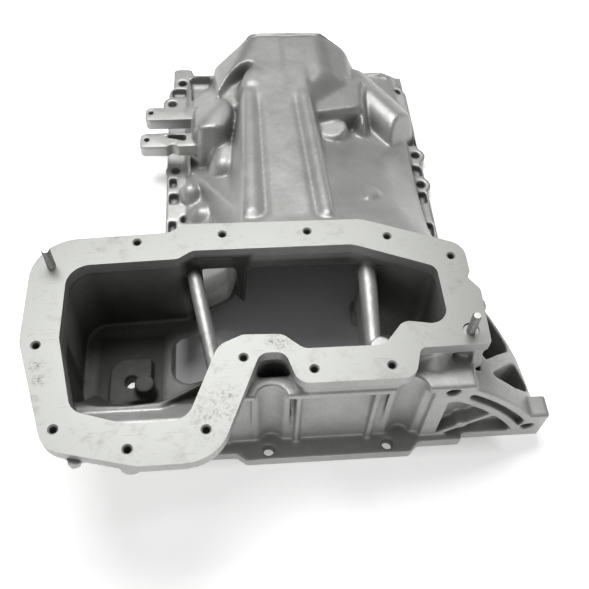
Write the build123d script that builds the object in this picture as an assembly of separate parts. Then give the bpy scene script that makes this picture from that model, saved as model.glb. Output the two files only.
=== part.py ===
from build123d import *
import math
import os

# Upper engine oil pan of a V6, cast in aluminium, standing upside down on its block rail.
# The shallow front half covers the crank, the deep rear half is the sump, and the sump's
# machined flange on top takes a lower pan. Sizes are millimetres. The origin is midway
# between the two rear rail bolts, on the block face; +Y runs to the engine's front, +Z to
# the sump flange.

# Overall sizes
sump_height = 120.0         # block face to sump flange face
pan_length = 462.0          # rear rail bolts to the front edge of the rail
rail_left = -138.0
rail_right = 131.0
lobe_left = -226.0          # outer edge of the side lobe at the flange
wing_right = 181.0          # tip of the gearbox wing

# Casting
wall = 5.0
flange_thick = 12.0
rail_thick = 12.0
rear_face = 5.3             # machined gearbox face, in front of the rear bolts
lobe_floor = 26.0           # underside of the lobe that overhangs the block
ledge_top = 97.0
ledge_thick = 6.0
strip_inset = 4.5           # strip above the ledge, behind the flange's edge
rib_thick = 4.2

# Gearbox wing, concentric with the crank
crank_drop = 80.0           # crank axis below the block face
bell_radius = 202.0
rim_thick = 7.7
rim_depth = 17.0
slot_width = 6.8
web_width = 7.5
wing_rib = 4.5
wing_floor = 10.0

# Fasteners
rail_bolt = 9.0
rail_boss = 10.5
rear_bolt_half = 49.0       # half the spacing of the two rear bolts
tapped_hole = 5.2
tapped_chamfer = 1.2
tapped_depth = 18.0
tapped_boss = 9.5
stud_dia = 6.0
stud_out = 20.0
stud_clearance = 0.1        # round the stud's screwed-in end, drawn at core size
gearbox_bolt = 10.5
boss_hole = 6.8             # hole in the boss above the wing
pedestal_hole = 11.0        # hole in the lobe's floor
rail_pocket_floor = 4.0

# Places worked out from the sizes above
flange_under = sump_height - flange_thick
ledge_under = ledge_top - ledge_thick
cover_left = rail_left + 20.0
cover_right = rail_right - 14.0
front_wall = pan_length - 7.0
sink = 1.0                  # how far joined forms run into each other

flange_holes = [(-146, 135), (-79, 140), (-11, 140), (53, 132), (101, 110), (40, 15),
                (-16, 15), (-66, 27), (-93, -27), (-145, -38), (-195, -21), (-214, 45)]
stud_places = [(-210, 115), (103, 41)]
gearbox_holes = [(90, 88), (167, 18)]       # x and z on the gearbox face
socket_channels = [(-47, 3, 12), (58.5, 4.5, 12)]
rail_holes = [(-123, 448), (-134, 414), (-129, 313), (-119, 247), (115, 442), (126, 325),
              (125, 283), (122, 84)]


# A closed face from corner points, each with its own corner radius
def outline(corners):
    points = [(x, y) for x, y, _ in corners]
    radii = [radius for _, _, radius in corners]
    return make_face(FilletPolyline(*points, radius=radii, close=True))


# A face in the plan view raised between two heights
def plate(face, low, high):
    return Pos(0, 0, low) * extrude(face, high - low)


def column(x, y, radius, low, high):
    return Pos(x, y, low) * Cylinder(radius, high - low, align=(Align.CENTER, Align.CENTER, Align.MIN))


def block(x0, x1, y0, y1, z0, z1):
    return Pos(x0, y0, z0) * Box(x1 - x0, y1 - y0, z1 - z0, align=(Align.MIN, Align.MIN, Align.MIN))


# A cross-section across the pan at one station along it
def across(corners, y):
    return Plane(origin=(0, y, 0), x_dir=(1, 0, 0), z_dir=(0, -1, 0)) * outline(corners)


# A profile along the pan, extruded from one x to another
def along(corners, x0, x1):
    side = Plane(origin=(x0, 0, 0), x_dir=(0, 1, 0), z_dir=(1, 0, 0))
    return extrude(side * outline(corners), x1 - x0)


# A round bar between two points, with ball ends, turned from one profile
def bar(start, end, radius_start, radius_end):
    path = Vector(*end) - Vector(*start)
    length = path.length
    half = Line((0, -radius_start), (0, length + radius_end))
    half += CenterArc((0, length), radius_end, 0, 90)
    half += Line((radius_end, length), (radius_start, 0))
    half += CenterArc((0, 0), radius_start, -90, 90)
    turned = revolve(Plane.XZ * make_face(half), Axis.Z)
    return Plane(origin=start, z_dir=path) * turned


# Sump flange, seen from above
def flange_outline():
    return outline([
        (lobe_left, 139, 36), (-121, 143.5, 8), (-109, 151.5, 8), (34, 150.5, 30),
        (113, 120.5, 15), (113, 93, 4), (109, 90, 3), (118, 77, 8), (116, 29, 2.5),
        (63, 28, 6), (56, 4, 12), (-28, 4, 12), (-36, 30, 9), (-54, 30, 9),
        (-86, -50, 32), (-138, -50.5, 30), (-201, -35, 20), (lobe_left, 48, 30)])


def mouth_outline():
    left = lobe_left + 28
    return outline([
        (left, 114, 18), (-114, 117, 10), (-103, 124.5, 10), (24, 125, 20), (87.5, 100, 9),
        (88, 46, 13), (54, 52, 10), (37, 32, 9), (-22, 32, 10), (-37, 45, 9), (-66, 46, 8),
        (-84, 38, 16), (-106, -19.5, 16), (-148, -19.5, 22), (-185, -8, 14), (left, 50, 24)])


# Wall line below the flange: the mouth, grown outward
def wall_outline(grow):
    return offset(mouth_outline(), amount=grow, kind=Kind.ARC)


def rail_outline():
    return outline([
        (rail_left, pan_length - 28, 10), (rail_left + 22, pan_length, 6), (rail_right - 22, pan_length - 3, 5),
        (rail_right, pan_length - 40, 10), (rail_right, 70, 6), (112, 20, 4), (112, 0, 2), (75, 0, 4),
        (67, -8.5, 4), (-67, -8.5, 4), (-75, -2, 4), (rail_left, -2, 12)])


# Cover of the front half: a smooth loft through cross-sections, lower towards the front.
# The hollow below it is the same with straight facets.
def cover(inset):
    low = -sink if inset > 0 else 0.0
    left, right = cover_left + inset, cover_right - inset
    stations = [(142, 66, 96, 104), (215, 26, 62, 82), (310, 20, 40, 52), (front_wall - inset, 11, 15, 24)]
    faces = []
    for y, knee, shoulder, crown in stations:
        points = [(left, low), (left + 3, knee - inset), (left + 36, shoulder - inset),
                  (0, crown - inset), (right - 36, shoulder - inset), (right - 3, knee - inset), (right, low)]
        edge = Polyline(*points) if inset > 0 else Spline(*points)
        section = make_face(edge + Line(points[-1], points[0]))
        faces.append(Plane(origin=(0, y, 0), x_dir=(1, 0, 0), z_dir=(0, -1, 0)) * section)
    return loft(faces, ruled=inset > 0)


# Scoop in the left shoulder beside the flange, down to the rail
def shoulder_scoop(inset):
    face = outline([(-150, 158, 0), (-150, 306, 0), (-113, 302, 14), (-96, 274, 40), (-75, 220, 60),
                    (-64, 178, 10), (-64, 158, 0)])
    floor = Pos(-92, 200, 30 - inset) * Rot(0, -26, 0) * Box(130, 260, 90, align=(Align.CENTER, Align.CENTER, Align.MIN))
    return plate(offset(face, amount=inset) if inset else face, -sink - 1, 130) & floor


def tunnel_top(y):
    near_y, near_z, far_y, far_z = 150.0, flange_under - 1.0, 385.0, 75.0
    return near_z + (far_z - near_z) * (y - near_y) / (far_y - near_y)


# Flat-topped tunnel down the middle of the front half
def tunnel(inset):
    faces = []
    for y, right in ((132, 5), (388 - inset, -3)):
        top = tunnel_top(y) - inset
        faces.append(across([
            (-63 + inset, -sink, 0), (-62 + inset, top - 14, 5), (-45 + inset / 2, top, 4),
            (right - inset / 2, top, 4), (right + 17 - inset, top - 14, 5), (right + 22 - inset, -sink, 0)], y))
    return loft(faces)


# Round ridges on both shoulders of the tunnel
def ridges():
    shapes = []
    for near, far, radius in (((-51, 181), (-50, 372), 9.5), ((13, 181), (5, 362), 8.5)):
        start = (near[0], near[1], tunnel_top(near[1]) - radius)
        end = (far[0], far[1], tunnel_top(far[1]) - radius + 1)
        shapes.append(bar(start, end, radius, radius - 1))
    shapes.append(Pos(-49, 371, tunnel_top(371) - 7) * Sphere(11))
    return shapes


# Tall front block over the oil pump, with its near left corner cut away
def front_block(inset):
    near, far = 372 + inset, front_wall - 3 - inset
    section = across([
        (-84 + inset, -sink, 0), (-80 + inset, 34 - inset / 2, 6), (-60 + inset, 56 - inset / 2, 6),
        (-45 + inset / 2, 75 - inset, 9), (-8, 76 - inset, 0), (31 - inset / 2, 74.5 - inset, 10),
        (57 - inset, 53 - inset / 2, 8), (75 - inset, 20, 6), (77 - inset, -sink, 0)], far)
    corner = outline([(-95, near - 1, 0), (-45, near - 1, 0), (-45, 404 + inset, 3), (-62, 400 + inset, 8),
                      (-95, 378 + inset, 0)])
    return extrude(section, far - near) - plate(corner, -sink - 1, sump_height)


# Two steps down from the block's near wall at the right
def step_shelf(inset):
    steps = []
    for height, near_left, near_right, right in ((64, 360, 377, 50), (57, 341, 356, 63)):
        face = outline([(10, 392, 0), (right - inset, 392, 0), (right - inset, near_right + inset, 5),
                        (21 + inset / 2, near_left + inset, 5), (10, near_left + inset, 0)])
        steps.append(plate(face, -sink, height - inset))
    return steps


# Slanted half-round housing at the right
def slanted_housing(inset):
    start, end = Vector(62, 410, 0), Vector(107, 340, 0)
    radius = 23 - inset
    path = end - start
    half = Plane(origin=start, z_dir=path) * Cylinder(
        radius, path.length - inset, align=(Align.CENTER, Align.CENTER, Align.MIN))
    return Pos(0, 0, 24) * half + plate(Plane(origin=start, x_dir=path) * Rectangle(
        path.length - inset, 2 * radius, align=(Align.MIN, Align.CENTER)), -sink, 25)


# Round-topped pod beside the tunnel at the left
def left_pod(inset):
    arch = across([(-107 + inset, -sink, 0), (-106 + inset, 57 - inset, 9), (-92, 68 - inset, 14),
                   (-74, 65 - inset, 9), (-66 - inset, 50 - inset, 6), (-62 - inset, -sink, 0)], 420)
    plan = outline([(-106 + inset, 402 - inset, 0), (-88, 396 - inset, 6), (-66 - inset, 352, 8),
                    (-66 - inset, 322 + inset, 14 - inset), (-90, 312 + inset, 16 - inset),
                    (-106 + inset, 322 + inset, 10 - inset)])
    return extrude(arch, 120) & plate(plan, -sink, 90)


# Rounder knob in front of the pod
def left_knob():
    return [bar((-74, 300, 44), (-75, 287, 44), 15, 14.5), plate(outline([
        (-89, 310, 0), (-60, 310, 0), (-60, 284, 12), (-75, 272, 14), (-89, 284, 12)]), 0, 44)]


# Low round bumps: two at the left beside the rail, one with a flat top at the right
def small_domes():
    low_bump = Pos(-107, 264, 12) * Sphere(13)
    high_bump = Pos(-99, 234, 18) * Sphere(17)
    return [low_bump, high_bump, column(37, 330, 15, 0, 49)]


# Half-round pad, proud of the cover at the right
def shoulder_pad():
    half = Cylinder(14.5, 90, align=(Align.CENTER, Align.CENTER, Align.MIN))
    half &= Box(40, 40, 200, align=(Align.MIN, Align.CENTER, Align.CENTER))
    return cover(-1.5) & Pos(48.5, 214, 10) * half


# Sump walls down to the block, with the lobe that overhangs it at the left
def sump_body(inset):
    top = flange_under + sink
    grow = wall + 1 - inset
    body = plate(wall_outline(grow), -sink if inset else 0.0, top)
    floor = lobe_floor + inset
    overhang = block(-300, rail_left + 2 + inset * 2, -100, 300, -50, floor)
    slope = along([(-120, -50, 0), (rear_face + inset, -50, 0), (rear_face + inset, 78 + inset, 0),
                   (-28 + inset, flange_under - 4 + inset / 2, 0), (-120, flange_under - 4 + inset / 2, 0)],
                  -300, -50)
    return body - overhang - slope


# Rear wall, its ledge and the strip between ledge and flange
def rear_wall():
    profile = [(9, 0, 0), (9, rail_thick, 0), (16.5, ledge_under, 2), (rear_face, ledge_under, 0.8),
               (rear_face, ledge_top, 0.8), (8.5, ledge_top + 1, 2), (8.5, flange_under + sink, 0),
               (34, flange_under + sink, 0), (22, ledge_top - 2, 6), (14.5, 0, 0)]
    return along(profile, -82, 80)


# The strip between ledge and flange follows the flange's edge, set back from it
def strip_setback():
    band = Pos(6.5, 12) * Rectangle(149, 44)
    return plate(band - offset(flange_outline(), amount=-strip_inset), ledge_top, flange_under + 2 * sink)


# Half-round wall thickenings behind the socket channels
def channel_walls():
    grown = [column(x, y, radius + wall, 0, ledge_under + sink) for x, y, radius in socket_channels]
    behind = block(-100, 100, 9.5, 60, -1, ledge_top)
    return [shape & behind for shape in grown]


def rear_ribs():
    shapes = []
    for top_x, foot_x in ((-25, -27), (35, 31)):
        profile = [(20, ledge_under + 1, 0), (rear_face + 0.4, ledge_under + 1, 0), (5.8, rail_thick - 1, 0),
                   (12, rail_thick - 1, 0)]
        middle = (top_x + foot_x) / 2
        shapes.append(along(profile, middle - rib_thick / 2, middle + rib_thick / 2))
    return shapes


# Shelf from the ledge to the sump wall, and the skirt with a flared foot under the flange's edge
def side_shelf():
    skirt = block(60.5, 91, 29, 46, ledge_under, flange_under + sink)
    flare = Pos(78, 31, ledge_top - 1) * Cone(13.5, 3, 13, align=(Align.CENTER, Align.CENTER, Align.MIN))
    return [block(60.5, 107, rear_face, 46, ledge_under - 2, ledge_top), skirt, flare]


def arc_band(outer, inner, y0, y1):
    ring = Circle(outer) - Circle(inner)
    side = Plane(origin=(0, y1, -crank_drop), x_dir=(1, 0, 0), z_dir=(0, -1, 0))
    return extrude(side * ring, y1 - y0)


# Wing that carries the gearbox face out to the right
def wing():
    plan = outline([(76, rear_face, 0), (wing_right, rear_face, 1), (wing_right, rear_face + rim_depth + 2, 6),
                    (166, 61, 14), (141, 86, 10), (128, 98, 8), (100, 98, 0), (76, 60, 0)])
    disc_side = Plane(origin=(0, 120, -crank_drop), x_dir=(1, 0, 0), z_dir=(0, -1, 0))
    disc = extrude(disc_side * Circle(bell_radius), 130)
    body = plate(plan, 0, ledge_top) & disc
    near_edge = rear_face + rim_depth
    cut_far = outline([(121, 36, 3), (157, 62, 5), (136, 86, 5), (126, 92, 4), (119, 80, 3)])
    cut_near = outline([(124, near_edge + 3, 2), (158, 52, 4), (173, 36, 3), (166, 30, 3), (150, near_edge + 2, 4)])
    cut_corner = outline([(108, near_edge + 2, 2), (116, near_edge + 3, 2), (114, 33, 1.5), (108, 31, 1)])
    body -= [plate(cut, wing_floor, 200) for cut in (cut_far, cut_near, cut_corner)]
    end_block = along([(rear_face, 0, 0), (rear_face, 37, 1), (near_edge + 2, 37, 1), (near_edge + 2, 0, 0)],
                      wing_right - 14, wing_right)
    boss = column(122, 84, 10, 0, 88)
    return body + end_block + boss - wing_pockets() - sump_body(wall)


# Crescent slot along the wing's rim, and the two pockets below it with their rib and knob
def wing_pockets():
    slot_outer = bell_radius - rim_thick
    web_inner = slot_outer - slot_width - web_width
    slot = arc_band(slot_outer, slot_outer - slot_width, 0, 14) & block(105, 161, 0, 30, 20, 90)
    depth = 18
    below_web = arc_band(web_inner, 60, 0, depth)
    face = outline([(90, 11.5, 2), (90, 90, 0), (180, 90, 0), (153, 11.5, 2)])
    front = Plane(origin=(0, depth, 0), x_dir=(1, 0, 0), z_dir=(0, -1, 0))
    pockets = extrude(front * face, 40) & below_web & block(90, 160, 0, depth, 0, 72)
    rib = extrude(front * trace(Line((88, 9), (132, 46)), line_width=wing_rib), 40)
    knob = extrude(front * Pos(109, 28) * Circle(5), 40)
    return [slot, pockets - rib - knob]


# Solid corner under the flange beside the right stud
def stud_corner():
    profile = [(24, ledge_under, 0), (24, ledge_top, 3), (29.5, flange_under + sink, 0), (50, flange_under + sink, 0),
               (50, ledge_under, 0)]
    return along(profile, 105, 113)


def ears():
    far_ear = outline([(-158, 372, 7), (-158, 353, 5), (-100, 353, 0), (-100, 372, 0)])
    near_ear = outline([(-162, 334, 7), (-162, 314, 5), (-100, 314, 0), (-100, 334, 0)])
    window = outline([(-144, 331, 1), (-108, 331, 1), (-108, 320, 1)])
    return [plate(far_ear, 31, 45), plate(near_ear, 31, 45) - plate(window, 20, 60),
            plate(outline([(-133, 472, 5), (-112, 472, 4), (-108, 440, 0), (-133, 440, 0)]), 0, rail_thick)]


def flange_bosses():
    on_strip = ((40, 15), (-16, 15))
    shapes = [column(x, y, tapped_boss, flange_under - 12, flange_under + sink)
              for x, y in flange_holes if (x, y) not in on_strip]
    shapes += [column(x, y, tapped_boss, flange_under - 14, flange_under + sink) for x, y in stud_places]
    return shapes


def rail_bosses():
    corner = outline([(-120, 458, 0), (-84, 458, 0), (-84, 440, 0), (-106, 420, 0), (-120, 420, 0)])
    return [column(x, y, rail_boss, 0, rail_thick) for x, y in rail_holes[:7]] + [plate(corner, 0, rail_thick)]


# Lightening pockets sunk into the top of the rail
def rail_pockets():
    corners = [
        [(-115, 455), (-90, 454), (-97, 444), (-112, 429)],
        [(-134, 438), (-119, 438), (-119, 425), (-134, 425)],
        [(-135, 302), (-128, 302), (-128, 290), (-135, 290)],
        [(-135, 281), (-126, 281), (-126, 268), (-135, 268)],
        [(-135, 245), (-128, 245), (-128, 231), (-135, 231)],
        [(116, 431), (125, 428), (125, 418)],
        [(120, 356), (130, 356), (130, 339), (120, 339)],
        [(119, 311), (129, 307), (129, 295), (119, 295)],
        [(119, 272), (128, 272), (128, 258), (119, 258)],
        [(118, 232), (128, 230), (127, 214), (118, 216)]]
    return [plate(outline([(x, y, 1.5) for x, y in points]), rail_pocket_floor, rail_thick + 30)
            for points in corners]


# Inside of the sump: bars across the mouth, a hanging web, lugs and the lobe's bolt pedestal
def inner_details():
    far_end, near_end = Vector(-104, 122, 96), Vector(-88, 34, 86)
    left_bar = bar(far_end, near_end, 6.0, 5.5)
    right_bar = bar((38, 128, 94), (34, 30, 86), 8.0, 6.5)
    span = near_end - far_end
    web_turn = math.degrees(math.atan2(span.Y, span.X))
    left_web = Pos(far_end.X + span.X / 2 + 5, far_end.Y + span.Y / 2, 62) * Rot(0, 0, web_turn) * Box(
        100, 3.5, 28, align=(Align.CENTER, Align.CENTER, Align.MIN))
    hanging_web = along([(150, 104, 0), (127, 108, 0), (127, 48, 1), (130, 36, 1.5), (140, 60, 0),
                         (190, 82, 0), (190, 94, 0)], -68, -63)
    pedestal = plate(outline([(-176, 76, 14), (-142, 76, 3), (-142, 36, 3), (-176, 36, 5)]),
                     lobe_floor + 1, lobe_floor + 14)
    sleeve = column(-146, 46, 8, lobe_floor + 1, lobe_floor + 26)
    floor_edge = plate(outline([(-136, 124, 0), (-104, 124, 0), (-108, 104, 8), (-136, 98, 0)]),
                       lobe_floor, lobe_floor + wall)
    lugs = [column(-70, 44, 10, 40, 104), column(38, 40, 9, 40, 104)]
    return [left_bar, right_bar, left_web, hanging_web, pedestal, sleeve, floor_edge] + lugs


# Thick near wall of the lobe, sweeping in behind the ledge
def lobe_sweep():
    profile = [(8, 0, 0), (26, 0, 0), (26, 73, 0), (10, 84, 0), (8, 84, 0)]
    plan = outline([(-142, 7, 0), (-80, 7, 0), (-80, 27, 0), (-98, 27, 10), (-142, 11, 0)])
    return along(profile, -150, -75) & plate(plan, 0, 100)


# Opening from the sump into the front half
def passage():
    return block(-97, 34, 118, 150, -sink, 92)


def holes():
    cuts = []
    for x, y in flange_holes + stud_places:
        cuts.append(column(x, y, tapped_hole / 2, sump_height - tapped_depth, sump_height + 1))
        cuts.append(Pos(x, y, sump_height - tapped_chamfer) * Cone(
            tapped_hole / 2, tapped_hole / 2 + tapped_chamfer, tapped_chamfer,
            align=(Align.CENTER, Align.CENTER, Align.MIN)))
    for x, y in rail_holes[:7]:
        cuts.append(column(x, y, rail_bolt / 2, -1, rail_thick + 60))
    cuts.append(column(122, 84, boss_hole / 2, -1, 100))
    for side in (-1, 1):
        cuts.append(column(side * rear_bolt_half, 0, rail_bolt / 2, -1, rail_thick + 1))
    for x, z in gearbox_holes:
        cuts.append(Pos(x, rear_face, z) * Rot(90, 0, 0) * Cylinder(gearbox_bolt / 2, 60))
    for x, y in ((-152, 364), (-155, 325)):
        cuts.append(column(x, y, tapped_hole / 2, 20, 60))
    cuts.append(column(-158, 54, pedestal_hole / 2, 0, 60))
    cuts += [column(x, y, radius, rail_thick, ledge_top) for x, y, radius in socket_channels]
    return cuts


# Small cast hook on the flange's rear edge
def hook():
    face = outline([(-190, -34, 0), (-178, -36, 2), (-177, -43, 1.5), (-184, -45, 2), (-186, -38, 0)])
    return plate(face, flange_under - 3, flange_under + 4)


def casting():
    outer = plate(rail_outline(), 0, rail_thick) + (cover(0) - shoulder_scoop(0))
    outer += [tunnel(0), front_block(0), slanted_housing(0), left_pod(0), shoulder_pad()]
    outer += step_shelf(0) + left_knob() + small_domes() + ridges()
    outer += sump_body(0)
    body = outer - block(-400, 400, -400, 800, -60, 0)
    hollows = [cover(wall) - shoulder_scoop(wall), tunnel(wall), front_block(wall), slanted_housing(wall)]
    for hollow in hollows + [left_pod(wall)] + step_shelf(wall) + [sump_body(wall), passage()]:
        body -= hollow
    body += rear_wall()
    body -= strip_setback()
    body += rear_ribs() + channel_walls() + side_shelf() + [stud_corner(), wing()]
    body += flange_bosses() + rail_bosses() + ears() + [hook()]
    body -= plate(mouth_outline(), flange_under - 14, sump_height + 1)
    body += inner_details() + [lobe_sweep()]
    body += plate(flange_outline() - mouth_outline(), flange_under, sump_height)
    body -= rail_pockets() + holes()
    return body


# A stud whose screwed-in end stands on the floor of its tapped hole
def stud(x, y):
    shank = column(x, y, stud_dia / 2, sump_height, sump_height + stud_out)
    shank = chamfer(shank.edges().filter_by(GeomType.CIRCLE).sort_by(Axis.Z)[-1:], 0.6)
    return shank + column(x, y, tapped_hole / 2 - stud_clearance, sump_height - tapped_depth, sump_height + sink)


def main():
    os.makedirs("parts", exist_ok=True)
    nodes = {"oil_pan_casting": casting()}
    for name, (x, y) in zip(("stud_left", "stud_right"), stud_places):
        nodes[name] = stud(x, y)
    for name, shape in nodes.items():
        print(name, len(shape.solids()), round(shape.volume), shape.is_valid)
        export_step(shape, f"parts/{name}.step")


main()
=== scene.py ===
import math

import bmesh
import bpy
import numpy as np
from mathutils import Matrix, Vector


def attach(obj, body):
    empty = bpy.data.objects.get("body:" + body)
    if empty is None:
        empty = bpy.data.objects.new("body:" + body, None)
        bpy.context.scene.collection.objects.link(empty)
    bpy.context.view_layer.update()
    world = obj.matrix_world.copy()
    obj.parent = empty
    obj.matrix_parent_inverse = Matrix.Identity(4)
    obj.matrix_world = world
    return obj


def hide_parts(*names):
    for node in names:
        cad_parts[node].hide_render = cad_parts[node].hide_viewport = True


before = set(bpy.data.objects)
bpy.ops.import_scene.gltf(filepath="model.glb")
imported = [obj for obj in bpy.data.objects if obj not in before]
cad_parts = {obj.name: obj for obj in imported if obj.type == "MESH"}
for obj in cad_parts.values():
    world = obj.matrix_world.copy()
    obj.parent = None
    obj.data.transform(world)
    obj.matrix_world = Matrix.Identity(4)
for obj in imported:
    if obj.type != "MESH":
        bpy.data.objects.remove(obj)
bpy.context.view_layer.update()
scene = bpy.context.scene
mm = 0.001
print("frame loaded", sorted(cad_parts))

cameraSettings = {
    "place": (-0.0643, -0.2362, 0.591),
    "heading": 7.0,      # degrees clockwise from +Y
    "down": 56.0,
    "roll": 3.4,
    "lens": 45.84,       # mm on a 36 mm sensor
}


# Camera at the photograph's angle: a heading, a tilt down and a roll
def addCamera(s):
    data = bpy.data.cameras.new("photoCamera")
    data.lens = s["lens"]
    data.sensor_width = 36
    data.clip_start = 0.01
    cam = bpy.data.objects.new("photoCamera", data)
    scene.collection.objects.link(cam)
    heading, down = math.radians(s["heading"]), math.radians(s["down"])
    forward = Vector((math.sin(heading) * math.cos(down), math.cos(heading) * math.cos(down), -math.sin(down)))
    turn = forward.to_track_quat("-Z", "Y").to_matrix().to_4x4()
    cam.matrix_world = Matrix.Translation(s["place"]) @ turn @ Matrix.Rotation(math.radians(s["roll"]), 4, "Z")
    scene.camera = cam


addCamera(cameraSettings)
print("camera placed")


# The larger of two heights, with the corner between them filled by a fillet about k high
def softMax(a, b, k):
    h = np.clip(0.5 + 0.5 * (a - b) / k, 0, 1)
    return b * (1 - h) + a * h + k * h * (1 - h)


# The smaller of two heights, with the corner rounded off
def softMin(a, b, k):
    return -softMax(-a, -b, k)


# Smooth curve through (knot, height) pairs: cubic Hermite pieces with the chord slopes at the knots
def curveThrough(t, knots, heights):
    knots, heights = np.asarray(knots, float), np.asarray(heights, float)
    slopes = np.gradient(heights, knots)
    i = np.clip(np.searchsorted(knots, t) - 1, 0, len(knots) - 2)
    gap = knots[i + 1] - knots[i]
    u = np.clip((t - knots[i]) / gap, 0, 1)
    return ((1 + 2 * u) * (1 - u) ** 2 * heights[i] + u * (1 - u) ** 2 * gap * slopes[i]
            + u * u * (3 - 2 * u) * heights[i + 1] + u * u * (u - 1) * gap * slopes[i + 1])


# Flat-topped form: drafted walls rise from a convex outline at height foot, cut off softly at height top.
# The outline's corners go round anticlockwise.
def mesa(x, y, corners, foot, steep, top, cornerRound, edgeRound):
    wallHeight = None
    for (x0, y0), (x1, y1) in zip(corners, corners[1:] + corners[:1]):
        length = math.hypot(x1 - x0, y1 - y0)
        inside = ((x1 - x0) * (y - y0) - (y1 - y0) * (x - x0)) / length
        side = foot + steep * inside
        wallHeight = side if wallHeight is None else softMin(wallHeight, side, cornerRound)
    return softMin(wallHeight, top, edgeRound)


# Distance in plan from a line piece, and how far along it the nearest point is, from 0 to 1
def segmentDistance(x, y, a, b):
    dx, dy = b[0] - a[0], b[1] - a[1]
    t = np.clip(((x - a[0]) * dx + (y - a[1]) * dy) / (dx * dx + dy * dy), 0, 1)
    return np.hypot(x - a[0] - t * dx, y - a[1] - t * dy), t


# Height of a round bar above its axis, its flanks carried on as steep drafted walls
def roll(distance, radius):
    u = distance / radius
    return radius * np.where(u < 0.97, np.sqrt(np.clip(1 - u * u, 0, 1)), 0.243 - 4.0 * (u - 0.97))


# Cap of an ellipsoid: height times the root of 1 minus the squared, scaled distance
def dome(x, y, centre, size, height):
    u = np.hypot((x - centre[0]) / size[0], (y - centre[1]) / size[1])
    return height * np.where(u < 0.96, np.sqrt(np.clip(1 - u * u, 0, 1)), 0.28 - 3.4 * (u - 0.96))


# Sloping plane: its height over a point in plan, plus its slopes along x and y
def plane(x, y, at, height, slopeX, slopeY):
    return height + slopeX * (x - at[0]) + slopeY * (y - at[1])


coverSettings = {
    "pitch": 0.9,                 # grid spacing, mm
    "xRange": (-126.0, 132.0),
    "yRange": (131.0, 460.0),
    "base": 3.0,                  # level of the field outside the cover, inside the rail's thickness
    "wall": 4.8,
    "lowest": 0.6,                # of the surface underneath
    "blur": 1.3,                  # mm, rounds every edge and fillet a little
    "nowhere": -50.0,             # height of a shell beyond its limit
}

rightShellSettings = {
    "stations": (131, 150, 185, 215, 250, 290, 340, 400, 460),
    "rows": [                     # x of a line along the shell, and its height at each station
        (18, (107, 103, 93, 84, 72, 56, 41, 33, 24)),
        (50, (107, 102, 91, 80, 67, 51, 34, 27, 20)),
        (82, (104, 98, 84, 70, 57, 42, 26, 21, 16)),
        (102, (96, 86, 66, 51, 40, 29, 21, 17, 13)),
        (112, (84, 70, 50, 37, 29, 22, 18, 15, 12)),
        (118, (70, 54, 36, 27, 21, 17, 15, 13, 11)),
    ],
    "frontWall": (12, 5.0, 456),  # height at the wall's line, draft, and the line's y
    "rightWall": (2, 8.0, 120.5),
    "leftLimit": -20,
}


# Convex shell right of the tunnel: smooth curves along through the station heights, one across through the rows
def rightShell(x, y, s):
    places = np.array([row[0] for row in s["rows"]], float)
    heights = np.stack([curveThrough(y, s["stations"], row[1]) for row in s["rows"]])
    slopes = np.gradient(heights, places, axis=0)
    i = np.clip(np.searchsorted(places, x) - 1, 0, len(places) - 2)
    gap = places[i + 1] - places[i]
    u = np.clip((x - places[i]) / gap, 0, 1)
    h0, h1, m0, m1 = (np.take_along_axis(table, k[None], 0)[0]
                      for table, k in ((heights, i), (heights, i + 1), (slopes, i), (slopes, i + 1)))
    shell = ((1 + 2 * u) * (1 - u) ** 2 * h0 + u * (1 - u) ** 2 * gap * m0
             + u * u * (3 - 2 * u) * h1 + u * u * (u - 1) * gap * m1)
    level, draft, edge = s["frontWall"]
    shell = softMin(shell, level + draft * (edge - y), 6)
    level, draft, edge = s["rightWall"]
    shell = softMin(shell, level + draft * (edge - x), 5)
    return np.where(x < s["leftLimit"], coverSettings["nowhere"], shell)


leftShellSettings = {
    "line": [(131, 108), (155, 105), (177, 95), (206, 75), (238, 56), (257, 46), (276, 36), (292, 27), (306, 21),
             (330, 18), (380, 17), (460, 15)],     # y along the shell, and its height
    "tilt": (0.10, -80, -62),     # rise across it towards the tunnel, x where it is nil, x where it stops
    "creaseStart": (-64.3, 176.7),
    "creaseBend": (0.17, 0.00175),
    "creaseAcross": 0.93,         # distance across the crease for 1 mm along x
    "creaseFall": 4.6,
    "hollow": (-118, 13.5, 0.08, 0.0105),          # x of its edge, then height, slope and curve of its floor
    "hollowRise": (190, 0.10),    # the floor rises nearer than this y
    "leftWall": (4, 6.0, -119.5),
    "leftWallTurn": (378, 0.42),  # the wall turns inwards beyond this y
    "rightLimit": 20,
}


# Shell left of the tunnel, falling to the front, with a hollow scooped out behind a curved crease
def leftShell(x, y, s):
    tilt, nilX, lastX = s["tilt"]
    shell = curveThrough(y, *zip(*s["line"])) + tilt * (np.minimum(x, lastX) - nilX)
    startX, startY = s["creaseStart"]
    along = np.clip(y - startY, -40, 200)
    creaseX = startX - s["creaseBend"][0] * along - s["creaseBend"][1] * along * along
    beyond = (creaseX - x) * s["creaseAcross"]
    edge, level, slope, curve = s["hollow"]
    inward = np.clip(x - edge, 0, 80)
    nearY, rise = s["hollowRise"]
    floor = level + curve * inward ** 2 + slope * inward + rise * np.clip(nearY - y, 0, 60)
    scooped = softMax(softMin(shell, shell - s["creaseFall"] * beyond, 2.5), softMin(floor, shell, 5), 7)
    level, draft, edge = s["leftWall"]
    turnY, turn = s["leftWallTurn"]
    scooped = softMin(scooped, level + draft * (x - edge - turn * np.clip(y - turnY, 0, 99)), 5)
    return np.where(x > s["rightLimit"], coverSettings["nowhere"], scooped)


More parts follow.
